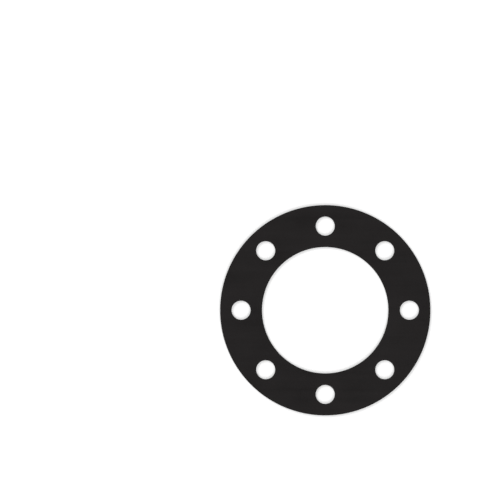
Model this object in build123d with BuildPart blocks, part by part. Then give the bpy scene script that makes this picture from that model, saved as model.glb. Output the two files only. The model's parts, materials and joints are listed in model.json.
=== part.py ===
"""Full-face rubber flange gasket: a flat ring with a circle of bolt holes, in one piece.

The gasket lies between two bolted pipe flanges and covers the whole of their faces. The pipe's flow
goes through the bore, and the flange bolts go through the bolt holes and keep the gasket centred.

It is cut from flat sheet: one die stroke shears the rim, the bore and every hole square to the sheet.
So both faces are alike, the walls are straight, and the edges stay as cut, with no chamfer or fillet.

Frame: the origin is the centre of the bore on the underside, which lies on the bench. +Z points up
along the bore, and the first bolt hole lies on +X.
"""

from build123d import *

import os

# Driving dimensions, in millimetres.
sheet_thickness = 3.0
bore_diameter = 120.0
bolt_diameter = 16.0
bolt_clearance = 2.0  # on the diameter, so that a bolt drops through
bolt_count = 8
inner_land = 11.0  # rubber between the bore and the bolt holes
outer_land = 11.0  # rubber between the bolt holes and the rim

# Worked out from them, from the bore outwards.
bolt_hole_diameter = bolt_diameter + bolt_clearance
bolt_circle_diameter = bore_diameter + 2 * inner_land + bolt_hole_diameter
outside_diameter = bolt_circle_diameter + bolt_hole_diameter + 2 * outer_land

with BuildPart() as gasket:
    with BuildSketch(Plane.XY) as die_outline:
        Circle(outside_diameter / 2)
        Circle(bore_diameter / 2, mode=Mode.SUBTRACT)
        with PolarLocations(bolt_circle_diameter / 2, bolt_count):
            Circle(bolt_hole_diameter / 2, mode=Mode.SUBTRACT)
    extrude(amount=sheet_thickness)

gasket.part.label = "flange_gasket"

print("outside diameter", outside_diameter)
print("bolt circle", bolt_circle_diameter, "with", bolt_count, "holes of", bolt_hole_diameter)
print("volume", round(gasket.part.volume), "cubic millimetres")

os.makedirs("parts", exist_ok=True)
export_step(gasket.part, "parts/flange_gasket.step")
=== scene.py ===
# %% [markdown]
# # A rubber flange gasket
#
# A full-face gasket is a flat ring of rubber sheet, squeezed between two pipe flanges. The pipe's
# flow goes through its bore, and the flange bolts go through its circle of holes. It is one piece:
# a steel-rule die shears the rim, the bore and all the holes out of the sheet in one stroke.
#
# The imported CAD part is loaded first. It is the frame that everything here is measured from, and
# it is never moved or changed.

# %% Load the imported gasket
import json
import math

import bmesh
import bpy
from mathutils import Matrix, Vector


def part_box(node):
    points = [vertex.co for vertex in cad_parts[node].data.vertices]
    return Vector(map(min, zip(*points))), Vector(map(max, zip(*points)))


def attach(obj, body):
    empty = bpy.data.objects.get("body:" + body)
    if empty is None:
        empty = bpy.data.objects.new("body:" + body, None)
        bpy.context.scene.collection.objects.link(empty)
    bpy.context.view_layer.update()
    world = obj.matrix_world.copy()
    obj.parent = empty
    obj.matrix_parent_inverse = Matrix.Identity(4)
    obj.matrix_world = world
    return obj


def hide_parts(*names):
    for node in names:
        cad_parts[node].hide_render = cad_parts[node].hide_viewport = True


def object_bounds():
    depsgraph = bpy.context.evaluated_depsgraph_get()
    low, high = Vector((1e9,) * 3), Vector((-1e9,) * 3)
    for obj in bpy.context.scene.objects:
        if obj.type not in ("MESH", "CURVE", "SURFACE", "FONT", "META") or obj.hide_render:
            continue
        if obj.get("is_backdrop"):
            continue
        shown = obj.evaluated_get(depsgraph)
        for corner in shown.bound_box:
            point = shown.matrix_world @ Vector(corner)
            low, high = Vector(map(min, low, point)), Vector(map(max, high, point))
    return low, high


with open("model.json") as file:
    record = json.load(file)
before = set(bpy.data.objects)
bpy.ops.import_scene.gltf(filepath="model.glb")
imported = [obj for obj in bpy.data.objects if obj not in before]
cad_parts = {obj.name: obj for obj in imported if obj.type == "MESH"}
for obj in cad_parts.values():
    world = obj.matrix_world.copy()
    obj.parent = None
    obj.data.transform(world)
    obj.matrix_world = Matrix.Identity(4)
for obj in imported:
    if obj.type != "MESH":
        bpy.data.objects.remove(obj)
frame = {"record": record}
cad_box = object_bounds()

MM = 0.001  # the scene is in metres, and a gasket is talked about in millimetres
packed_size = [(top - bottom) / MM for bottom, top in zip(*cad_box)]
print("packed gasket measures", [round(side, 2) for side in packed_size], "mm")

# %% [markdown]
# ## Its sizes
#
# The record that is packed with the part gives the bore and the bolt holes. The rim and the
# thickness come from the box round the CAD solid. That solid's rim is a polygon, so its box is a
# hair smaller on some sides than on others, and the smallest of the four keeps the new rim inside.

# %% Read the sizes
mounts = {mount["name"]: mount["dims"] for mount in frame["record"]["mounts"]}
bore_radius = mounts["bore"]["r_mm"] * MM
hole_radius = mounts["bolt_holes"]["hole_r_mm"] * MM
hole_circle_radius = mounts["bolt_holes"]["pcd_mm"] / 2 * MM
hole_count = mounts["bolt_holes"]["count"]

low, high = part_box("flange_gasket")
rim_radius = min(-low.x, high.x, -low.y, high.y)
thickness = high.z - low.z
print(f"rim {rim_radius / MM:.2f} mm and bore {bore_radius / MM:.2f} mm in radius")
print(f"{hole_count} holes of {hole_radius / MM:.2f} mm on a circle of {hole_circle_radius / MM:.2f} mm")
print(f"sheet {thickness / MM:.2f} mm thick")

# %% [markdown]
# ## The camera
#
# A flat gasket is known by its outline, so it is looked at from straight above, where every
# circle stays round. A wide lens close by would show more of one wall than of the other, so the
# camera has a long lens and hangs high up. The view takes in more bench than the gasket covers,
# and the gasket lies towards its lower right corner.

# %% Hang the camera over the bench
view_width = 475 * MM  # of bench, from side to side
gasket_right_by = 71.5 * MM  # from the middle of the view
gasket_down_by = 57.25 * MM
focal_length = 200  # a lens and its sensor are given in millimetres
sensor_width = 36

bpy.ops.object.camera_add(rotation=(0, 0, 0))  # a camera that isn't turned looks straight down
camera = bpy.context.object
camera.name = "overhead_camera"
camera.data.lens = focal_length
camera.data.sensor_width = sensor_width
camera_height = thickness + view_width * focal_length / sensor_width
camera.location = (-gasket_right_by, gasket_down_by, camera_height)
bpy.context.scene.camera = camera
print(f"camera {camera_height:.2f} m above the bench")

# %% [markdown]
# ## Choosing what an operator acts on
#
# Blender's mesh operators act on whatever is selected. By hand one clicks. In a script, each
# vertex, edge or face is tested by its place or its normal, and this helper selects those that
# pass.

# %% Select by a test
def select(kind, wanted):
    """Select the edited mesh's "VERT", "EDGE" or "FACE" items that pass the test, and count them."""
    bpy.ops.mesh.select_mode(type=kind)
    bpy.ops.mesh.select_all(action="DESELECT")
    data = bpy.context.edit_object.data
    mesh = bmesh.from_edit_mesh(data)
    items = {"VERT": mesh.verts, "EDGE": mesh.edges, "FACE": mesh.faces}[kind]
    chosen = [item for item in items if wanted(item)]
    for item in chosen:
        item.select_set(True)
    mesh.select_flush_mode()  # selects what goes with them, such as an edge's two ends
    bmesh.update_edit_mesh(data)
    return len(chosen)


# %% [markdown]
# ## One eighth of the sheet
#
# The holes could be cut out of a ring with a Boolean, which leaves long thin faces round each one.
# Here the ring is seen as equal wedges, each with one bolt hole in its middle. Only one wedge is
# modelled, in clean four-sided faces, and the rest are copies of it.
#
# Every cut edge will be rounded later, and a rounding comes out even if the faces beside it are
# all alike. So each edge gets a narrow collar of its own, and the wedge stops short of the rim and
# the bore by that much. It starts as two arcs, which are what is left of whole circles once the
# rest is deleted.

# %% Draw the two arcs of the wedge
arc_steps = 24  # along the wedge's share of the rim, and of the bore
collar_width = 2 * MM
circle_sides = arc_steps * hole_count
half_wedge = math.pi / hole_count
half_step = half_wedge / arc_steps


def bearing(v):
    """The direction of a vertex from the middle of the bore, as an angle from +X."""
    return math.atan2(v.co.y, v.co.x)


bpy.ops.object.select_all(action="DESELECT")
bpy.ops.mesh.primitive_circle_add(vertices=circle_sides, radius=rim_radius - collar_width)
gasket = bpy.context.object
gasket.name = "rubber_gasket"
bpy.ops.object.mode_set(mode="EDIT")
bpy.ops.mesh.primitive_circle_add(vertices=circle_sides, radius=bore_radius + collar_width)

count = select("VERT", lambda v: abs(bearing(v)) > half_wedge + half_step)
bpy.ops.mesh.delete(type="VERT")
print("kept", 2 * circle_sides - count, "vertices of", 2 * circle_sides)

# %% [markdown]
# Two straight sides close the outline. Where two vertices are selected, the operator that makes
# faces draws an edge between them, and subdividing cuts that edge into short steps.

# %% Close the outline
side_steps = 12  # along each straight side

for side in (-half_wedge, half_wedge):
    ends = select("VERT", lambda v: abs(bearing(v) - side) < half_step)
    bpy.ops.mesh.edge_face_add()
    bpy.ops.mesh.subdivide(number_cuts=side_steps - 1)
    print(f"side at {math.degrees(side):.1f} degrees drawn between {ends} ends")

# %% [markdown]
# The bolt hole is a circle with as many sides as the outline has edges, so that the two can be
# bridged edge to edge. Its edges are extruded on the spot, and the new ones are widened, which
# makes its collar.

# %% Draw the bolt hole and its collar
hole_sides = 2 * arc_steps + 2 * side_steps
hole_centre = (hole_circle_radius, 0, 0)

bpy.ops.mesh.select_all(action="DESELECT")
bpy.ops.mesh.primitive_circle_add(vertices=hole_sides, radius=hole_radius, location=hole_centre)
bpy.ops.mesh.extrude_edges_move()
widening = (hole_radius + collar_width) / hole_radius
bpy.ops.transform.resize(value=(widening, widening, 1), center_override=hole_centre)
print(f"hole of {hole_sides} sides in a collar {collar_width / MM:.1f} mm wide")

# %% [markdown]
# The space between the collar and the outline could be filled one face at a time. A bridge fills
# it at once, with rings of faces from one loop of edges to the other. Spokes cross the collar, with
# their middles halfway over it, and a test further out than that leaves them out of the loops.

# %% Fill the wedge round its bolt hole
past_the_spokes = hole_radius + 0.75 * collar_width
rings_between = 4  # between the collar and the outline


def midpoint(edge):
    """The middle of an edge."""
    return (edge.verts[0].co + edge.verts[1].co) / 2


def from_hole(point):
    """How far a point is from the middle of the first bolt hole."""
    return math.hypot(point.x - hole_circle_radius, point.y)


edges = select("EDGE", lambda e: from_hole(midpoint(e)) > past_the_spokes)
bpy.ops.mesh.bridge_edge_loops(number_cuts=rings_between, interpolation="LINEAR")
print("bridged", edges, "edges")

# %% [markdown]
# A bridge takes the outline's corners straight in towards the round hole. The rings between the
# two are relaxed, so that the corners fade out on the way in.

# %% Relax the rings
near = 0.01 * MM  # places closer together than this are taken as one
relax_share = 0.5  # of the way to the middle of its neighbours, each time
relax_times = 12


def inside_the_wedge(v):
    """Whether a vertex lies between the hole's collar and the outline."""
    return not v.is_boundary and from_hole(v.co) > hole_radius + collar_width + near


count = select("VERT", inside_the_wedge)
bpy.ops.mesh.vertices_smooth(factor=relax_share, repeat=relax_times)
print("relaxed", count, "vertices")

# %% [markdown]
# ## The whole sheet
#
# An Array modifier could repeat the wedge round the bore, but it needs a second object that tells
# it how far to turn. Spin can leave copies behind as it turns, and together with the first wedge
# they complete the ring. Where two copies touch, their doubled vertices are merged.

# %% Copy the wedge round the bore
turn = 2 * math.pi * (hole_count - 1) / hole_count  # the first wedge is in its place already
bpy.ops.mesh.select_all(action="SELECT")
bpy.ops.mesh.spin(steps=hole_count - 1, dupli=True, angle=turn, center=(0, 0, 0), axis=(0, 0, 1))
bpy.ops.mesh.select_all(action="SELECT")
bpy.ops.mesh.remove_doubles(threshold=near)
joined = bmesh.from_edit_mesh(gasket.data)
print("ring of", len(joined.faces), "faces, in", hole_count, "wedges")

# %% [markdown]
# The rim and the bore are whole circles now, so they get their collars in the same way as the
# hole did, with the middle of the bore as the centre of the widening.

# %% Add the collars of the rim and the bore
collars = {
    "rim": (rim_radius - collar_width, rim_radius),  # where the collar starts, and where it ends
    "bore": (bore_radius + collar_width, bore_radius),
}
for name, (starts_at, ends_at) in collars.items():
    edges = select("EDGE", lambda e: e.is_boundary and abs(e.verts[0].co.length - starts_at) < near)
    bpy.ops.mesh.extrude_edges_move()
    widening = ends_at / starts_at
    bpy.ops.transform.resize(value=(widening, widening, 1), center_override=(0, 0, 0))
    print(f"{name} of {edges} sides, {ends_at / MM:.2f} mm in radius")

# %% [markdown]
# A face has a front and a back, and which is which comes from the way it was made. All are made to
# agree, and are turned over together if their fronts look down. That is done before the sheet gets
# its thickness, while it is still easy to tell a front from a back.

# %% Turn the faces up
bpy.ops.mesh.select_all(action="SELECT")
bpy.ops.mesh.normals_make_consistent(inside=False)
facing_down = select("FACE", lambda f: f.normal.z < 0)
if facing_down:
    bpy.ops.mesh.flip_normals()
sheet = bmesh.from_edit_mesh(gasket.data)
print("sheet of", len(sheet.faces), "faces, of which", facing_down, "were turned over")

# %% [markdown]
# ## Its thickness
#
# A Solidify modifier would give the sheet its thickness in one step, with a single row of faces
# round every wall. The walls of die-cut rubber aren't flat, so the sheet is extruded up in four
# equal steps, which leaves rings to shape them with. The first step also turns the lowest faces
# down, so the closed solid faces outwards all over, and its signed volume is above zero.

# %% Extrude the sheet to its thickness
wall_steps = 4
bpy.ops.mesh.select_all(action="SELECT")
for step in range(wall_steps):
    bpy.ops.mesh.extrude_region_move(TRANSFORM_OT_translate={"value": (0, 0, thickness / wall_steps)})
solid = bmesh.from_edit_mesh(gasket.data)
open_edges = sum(1 for edge in solid.edges if len(edge.link_faces) != 2)
print(f"closed with {open_edges} open edges, {solid.calc_volume(signed=True) / MM ** 3:.0f} cubic mm")

# %% [markdown]
# ## The cut walls
#
# Rubber is squeezed sideways under the die's knife and springs back once it is cut, so a die-cut
# wall is slightly hollow, deepest halfway down. Scaling the rings would suit the rim, and push the
# holes' walls sideways. Instead they are moved into the rubber along their own normals, which
# hollows the rim, the bore and the holes alike. How far each ring goes follows a parabola that is
# zero at both faces.

# %% Hollow the walls
hollow = 0.12 * MM  # halfway down
for ring in range(1, wall_steps):
    height = thickness * ring / wall_steps
    depth = hollow * (1 - (2 * ring / wall_steps - 1) ** 2)
    count = select("VERT", lambda v: abs(v.co.z - height) < near)
    bpy.ops.transform.shrink_fatten(value=-depth)
    ring_radius = max(math.hypot(v.co.x, v.co.y) for v in solid.verts if v.select)
    print(f"ring {ring}: {count} vertices, rim now {ring_radius / MM:.3f} mm in radius")

# %% [markdown]
# ## Softened edges
#
# A knife can't leave a perfect corner in rubber. The edge where it enters is dragged down a little,
# and the edge where it leaves is crisper. A Bevel modifier would round them all alike, so each side
# is bevelled on its own, in three short steps, which catch a thin line of light. The edges are
# found by the fold between their two faces.

# %% Round the edges where the faces meet the walls
entry_edge = 0.20 * MM  # upper face
exit_edge = 0.10 * MM  # underside
rounding_steps = 3
sharp_fold = math.radians(45)  # a cut edge folds by about 90 degrees, and the flat faces by none
bench_side = low.z
upper_side = high.z

for side_height, softness in ((upper_side, entry_edge), (bench_side, exit_edge)):
    count = select(
        "EDGE",
        lambda e: abs(midpoint(e).z - side_height) < near and e.calc_face_angle() > sharp_fold,
    )
    bpy.ops.mesh.bevel(offset=softness, segments=rounding_steps, affect="EDGES")
    print(f"rounded {count} edges at {side_height / MM:.1f} mm by {softness / MM:.2f} mm")

# %% [markdown]
# ## A sheet that isn't quite even
#
# Rubber sheet is squeezed between hot rolls, and its thickness always wanders by a tenth of a
# millimetre or two. The wander is too gentle to see from above, but at a low angle it breaks up
# the sheen. The underside lies flat on the bench, so only the upper side may move. A vertex group
# marks it.

# %% Mark the upper side
upper_from = upper_side - 2 * entry_edge  # takes in the rounded edges, and none of the wall's rings

count = select("VERT", lambda v: v.co.z > upper_from)
bpy.ops.object.vertex_group_assign_new()
bpy.ops.object.mode_set(mode="OBJECT")
print("upper side of", count, "vertices")

# %% [markdown]
# Bump in the material would shade the sheet as if it were uneven, and leave it flat. A Displace
# modifier really moves it, by a cloudy texture whose clouds are as wide as the waves in the sheet,
# and only ever down, which keeps the gasket within its nominal thickness.

# %% Let the upper side wander
wander_depth = 0.10 * MM
wander_length = 28 * MM

wander = bpy.data.textures.new("calender_wander", type="CLOUDS")
wander.noise_scale = wander_length
wander.noise_depth = 1  # one set of smaller waves on the long ones
bpy.ops.object.modifier_add(type="DISPLACE")
displace = gasket.modifiers[-1]
displace.texture = wander
displace.texture_coords = "LOCAL"
displace.direction = "Z"
displace.mid_level = 1  # the noise is never above 1, so it only moves things down
displace.strength = wander_depth
displace.vertex_group = gasket.vertex_groups[-1].name
bpy.ops.object.modifier_apply(modifier=displace.name)
bpy.ops.object.vertex_group_remove(all=True)
upper = [v.co.z for v in gasket.data.vertices if v.co.z > upper_from]
print(f"upper side between {min(upper) / MM:.3f} and {max(upper) / MM:.3f} mm")

# %% [markdown]
# ## Smooth shading
#
# With smooth shading alone, the tiny rounded edges would bend the light far into the flat faces.
# Weighted normals let the large faces keep their own direction, and put the whole turn into the
# rounding.

# %% Shade the gasket
bpy.ops.object.shade_smooth()
bpy.ops.object.modifier_add(type="WEIGHTED_NORMAL")
bpy.ops.object.modifier_apply(modifier=gasket.modifiers[-1].name)
print("gasket has", len(gasket.data.polygons), "faces")

# %% [markdown]
# ## Helpers for materials
#
# Colours are picked in sRGB, as on a screen, while a shader works in linear light. This function
# turns the first into the second.

# %% Turn a colour to linear light
def linear(hex_colour):
    """The linear RGBA of an sRGB colour such as "#232121"."""
    channels = [int(hex_colour[start : start + 2], 16) / 255 for start in (1, 3, 5)]
    return [c / 12.92 if c <= 0.04045 else ((c + 0.055) / 1.055) ** 2.4 for c in channels] + [1]


print("the grey #808080 is", round(linear("#808080")[0], 3), "of white in linear light")

# %% [markdown]
# A material is a tree of nodes. By hand, each one is added, set and wired in turn. This function
# does that for one node: it sets the node's own properties, and fills each input with a value or
# links it to another node's output.

# %% Add a node
def add_node(tree, kind, inputs=None, **settings):
    """Add a node, set its own properties, and fill or link its inputs."""
    node = tree.nodes.new(kind)
    for name, value in settings.items():
        setattr(node, name, value)
    for socket, value in (inputs or {}).items():
        if isinstance(value, bpy.types.NodeSocket):
            tree.links.new(value, node.inputs[socket])
        else:
            node.inputs[socket].default_value = value
    return node


# %% [markdown]
# ## The face: calendered black rubber
#
# The sheet is EPDM, a synthetic rubber filled with carbon black, rolled out by calender rolls and
# then cured in a press. The carbon makes it black right through, a touch warmer than neutral. To
# the eye its skin is matt and nearly even. What keeps it from being one flat tone is a cloudy
# bloom, where wax has come to the surface, faint streaks along the way it was rolled, and a fine
# grain. An image of rubber would repeat and bring its own light, so all three are noise, each at
# its own size. Bloom and streaks are blended into one tone.

# %% Lay out the face's patterns
bloom_size = 40 * MM
streak_width = 6 * MM
streak_length = 120 * MM
grain_size = 2.4 * MM  # about 0.4 mm on real sheet, drawn coarser so that it shows at all
streak_share = 0.4

face_rubber = bpy.data.materials.new("calendered_black_rubber")
face_rubber.use_nodes = True
tree = face_rubber.node_tree
tree.nodes.clear()

place = add_node(tree, "ShaderNodeTexCoord").outputs["Object"]
bloom = add_node(tree, "ShaderNodeTexNoise", {"Vector": place, "Scale": 1 / bloom_size, "Detail": 3})
rolled = add_node(
    tree,
    "ShaderNodeMapping",
    {"Vector": place, "Scale": (1 / streak_length, 1 / streak_width, 1 / streak_width)},
)
streaks = add_node(tree, "ShaderNodeTexNoise", {"Vector": rolled.outputs[0], "Scale": 1, "Detail": 2})
tone = add_node(
    tree,
    "ShaderNodeMix",
    {"Factor": streak_share, "A": bloom.outputs["Fac"], "B": streaks.outputs["Fac"]},
)
grain = add_node(tree, "ShaderNodeTexNoise", {"Vector": place, "Scale": 1 / grain_size, "Detail": 2})
print(f"bloom of {bloom_size / MM:.0f} mm and grain of {grain_size / MM:.1f} mm")
print(f"streaks of {streak_length / MM:.0f} by {streak_width / MM:.0f} mm")

# %% [markdown]
# The tone picks a colour between two blacks that are close together. Where the bloom is, the skin
# is also a little rougher, so the same tone drives the roughness. A Mix node has sockets for every
# kind of data. When it mixes colours, they go into its inputs 6 and 7, and come out of output 2.

# %% Turn the patterns into the face's shader
rubber_dark = "#191717"
rubber_light = "#232121"
least_rough = 0.50
most_rough = 0.78
rubber_ior = 1.52
rubber_sheen_level = 0.06  # 0.5 is all that the IOR reflects, and so matt a skin loses most of it
grain_depth = 0.40 * MM  # the noise swings through about a third of it

spread = {"From Min": 0.35, "From Max": 0.65}  # the tone seldom leaves this range
tone_steps = add_node(tree, "ShaderNodeMapRange", {"Value": tone.outputs[0], **spread})
colour = add_node(
    tree,
    "ShaderNodeMix",
    {0: tone_steps.outputs[0], 6: linear(rubber_dark), 7: linear(rubber_light)},
    data_type="RGBA",
)
roughness = add_node(
    tree,
    "ShaderNodeMapRange",
    {"Value": tone.outputs[0], **spread, "To Min": least_rough, "To Max": most_rough},
)
relief = add_node(tree, "ShaderNodeBump", {"Height": grain.outputs["Fac"], "Distance": grain_depth})
skin = add_node(
    tree,
    "ShaderNodeBsdfPrincipled",
    {
        "Base Color": colour.outputs[2],
        "Roughness": roughness.outputs[0],
        "IOR": rubber_ior,
        "Specular IOR Level": rubber_sheen_level,
        "Normal": relief.outputs[0],
    },
)
add_node(tree, "ShaderNodeOutputMaterial", {"Surface": skin.outputs[0]})
print(face_rubber.name, "has", len(tree.nodes), "nodes")

# %% [markdown]
# ## The walls: knife-cut black rubber
#
# The knife goes straight through the sheet, so a wall shows the inside of the rubber. It is as
# black as the skin, without bloom, and a little shinier where the steel slid along it. The blade's
# small nicks drag fine upright scores down the wall. Modelled grooves would be thousands of faces,
# so the scores are noise that is squeezed round the wall and stretched along the height.

# %% Lay out the walls' scores
score_spacing = 1.2 * MM  # about 0.3 mm on a real wall, drawn coarser so that it shows
score_height = 12 * MM  # longer than the wall is high, so that a score runs right down it

wall_rubber = bpy.data.materials.new("knife_cut_black_rubber")
wall_rubber.use_nodes = True
tree = wall_rubber.node_tree
tree.nodes.clear()

place = add_node(tree, "ShaderNodeTexCoord").outputs["Object"]
upright = add_node(
    tree,
    "ShaderNodeMapping",
    {"Vector": place, "Scale": (1 / score_spacing, 1 / score_spacing, 1 / score_height)},
)
scores = add_node(tree, "ShaderNodeTexNoise", {"Vector": upright.outputs[0], "Scale": 1, "Detail": 2})
print(f"scores {score_spacing / MM:.1f} mm apart and {score_height / MM:.0f} mm high")

# %% [markdown]
# The scores tint the cut a little and give it its relief. Its gloss is the same all over, so it
# goes straight into the shader.

# %% Turn the scores into the walls' shader
cut_dark = "#171616"
cut_light = "#211f1f"
cut_roughness = 0.42
cut_sheen_level = 0.35
score_depth = 0.25 * MM

colour = add_node(
    tree,
    "ShaderNodeMix",
    {0: scores.outputs["Fac"], 6: linear(cut_dark), 7: linear(cut_light)},
    data_type="RGBA",
)
relief = add_node(tree, "ShaderNodeBump", {"Height": scores.outputs["Fac"], "Distance": score_depth})
cut = add_node(
    tree,
    "ShaderNodeBsdfPrincipled",
    {
        "Base Color": colour.outputs[2],
        "Roughness": cut_roughness,
        "IOR": rubber_ior,
        "Specular IOR Level": cut_sheen_level,
        "Normal": relief.outputs[0],
    },
)
add_node(tree, "ShaderNodeOutputMaterial", {"Surface": cut.outputs[0]})
print(wall_rubber.name, "has", len(tree.nodes), "nodes")

# %% [markdown]
# Both materials go into the gasket's slots. Every face starts with the first one, and the faces
# that don't lie flat, which are the walls and their rounded edges, are given the second.

# %% Give each face its material
flattest_wall = math.radians(8)  # the upper face wanders, and is nowhere near this steep

gasket.data.materials.clear()
gasket.data.materials.append(face_rubber)
gasket.data.materials.append(wall_rubber)
bpy.ops.object.mode_set(mode="EDIT")
count = select("FACE", lambda f: abs(f.normal.z) < math.cos(flattest_wall))
gasket.active_material_index = 1
bpy.ops.object.material_slot_assign()
bpy.ops.object.mode_set(mode="OBJECT")
print(count, "wall faces of", len(gasket.data.polygons))

# %% [markdown]
# ## A white background
#
# The gasket lies on plain white card in a white room. Both would come out a little grey, or the
# light would have to be so strong that it washed out the black. So the bench and the room have
# some white that is only seen and lights nothing: by the camera, and in any mirror or glass. The
# light path tells which ray is asking.

# %% Ask whether a ray sees the background
def seen_directly(tree):
    """An output that is 1 where the camera, a mirror or glass looks at this material, and else 0."""
    path = add_node(tree, "ShaderNodeLightPath").outputs
    eye_or_mirror = add_node(
        tree, "ShaderNodeMath", {0: path["Is Camera Ray"], 1: path["Is Glossy Ray"]}, operation="MAXIMUM"
    )
    any_of_them = add_node(
        tree,
        "ShaderNodeMath",
        {0: eye_or_mirror.outputs[0], 1: path["Is Transmission Ray"]},
        operation="MAXIMUM",
    )
    return any_of_them.outputs[0]


# %% [markdown]
# ## The bench
#
# The gasket lies at height zero, so the bench does too. A plane would do, and a wide disc has an
# edge that is equally far away all round.

# %% Lay the bench
bench_radius = 6  # in metres, which puts its edge far out of sight
bench_sides = 96

bpy.ops.object.select_all(action="DESELECT")
bpy.ops.mesh.primitive_circle_add(vertices=bench_sides, radius=bench_radius, fill_type="NGON")
bench = bpy.context.object
bench.name = "bench"
bench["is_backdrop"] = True
print(f"bench {2 * bench_radius} m across")

# %% [markdown]
# White card is matt and nearly as white as a surface can be. The gasket's shadow takes light away
# from it, and the added white is too little to hide that.

# %% Cover it with white card
card_white = "#f7f7f7"
card_roughness = 0.9
card_sheen_level = 0.1
added_white = 0.2  # of full white, where it is only seen

card = bpy.data.materials.new("white_card")
card.use_nodes = True
tree = card.node_tree
tree.nodes.clear()
paper = add_node(
    tree,
    "ShaderNodeBsdfPrincipled",
    {
        "Base Color": linear(card_white),
        "Roughness": card_roughness,
        "Specular IOR Level": card_sheen_level,
    },
)
added = add_node(tree, "ShaderNodeMath", {0: seen_directly(tree), 1: added_white}, operation="MULTIPLY")
white = add_node(tree, "ShaderNodeEmission", {"Strength": added.outputs[0]})
both = add_node(tree, "ShaderNodeAddShader", {0: paper.outputs[0], 1: white.outputs[0]})
add_node(tree, "ShaderNodeOutputMaterial", {"Surface": both.outputs[0]})
bench.data.materials.append(card)
print(card.name, "has", len(tree.nodes), "nodes, and", added_white, "of white added where it is seen")

# %% [markdown]
# ## The light
#
# Two broad lamps light the gasket from two sides, as softboxes in a studio do. Area lamps would
# light the near side more than the far one, so they are sun lamps, which are endlessly far away,
# and as broad as a softbox looks. They stand well away from the camera's line of sight, because a
# lamp right above would be mirrored in the faces and turn the black to grey.

# %% Put up the lamps
softbox_width = math.radians(40)  # as the gasket sees it
softboxes = {
    "key_softbox": (1.1, 40, 225),  # strength, degrees down from overhead, and degrees round
    "fill_softbox": (1.0, 40, 20),
}
for name, (strength, down, around) in softboxes.items():
    bpy.ops.object.light_add(type="SUN", rotation=(math.radians(down), 0, math.radians(around)))
    lamp = bpy.context.object
    lamp.name = name
    lamp.data.energy = strength
    lamp.data.angle = softbox_width
    print(f"{name} of strength {strength}, {down} degrees down from overhead")

# %% [markdown]
# The white room fills the shadows from all round. Where it is looked at, it is full white, and it
# gives half of that as light. A sun lamp of strength pi right overhead would light a white surface
# to full white, and the lamps and the room together come to just about that, so that each colour
# comes out much as it is written.

# %% Paint the room white
room_white = "#ffffff"
room_light = 0.5

room = bpy.data.worlds.new("white_room")
bpy.context.scene.world = room
room.use_nodes = True
tree = room.node_tree
tree.nodes.clear()
brightness = add_node(
    tree, "ShaderNodeMapRange", {"Value": seen_directly(tree), "To Min": room_light, "To Max": 1}
)
paint = add_node(
    tree, "ShaderNodeBackground", {"Color": linear(room_white), "Strength": brightness.outputs[0]}
)
add_node(tree, "ShaderNodeOutputWorld", {"Surface": paint.outputs[0]})
bpy.context.scene.view_settings.view_transform = "Standard"

lit = sum(power * math.cos(math.radians(down)) for power, down, _ in softboxes.values()) / math.pi
print(f"a white surface that lies flat is lit to {lit + room_light:.2f} of white")

# %% [markdown]
# ## Handing over
#
# The new gasket rides on the part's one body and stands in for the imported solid, which stays
# hidden underneath. The two boxes are written down, so that they can be compared.

# %% Tie the gasket to the frame
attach(gasket, "root")
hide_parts("flange_gasket")

new_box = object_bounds()
new_size = [(top - bottom) / MM for bottom, top in zip(*new_box)]
print("the new gasket measures", [round(side, 2) for side in new_size], "mm")
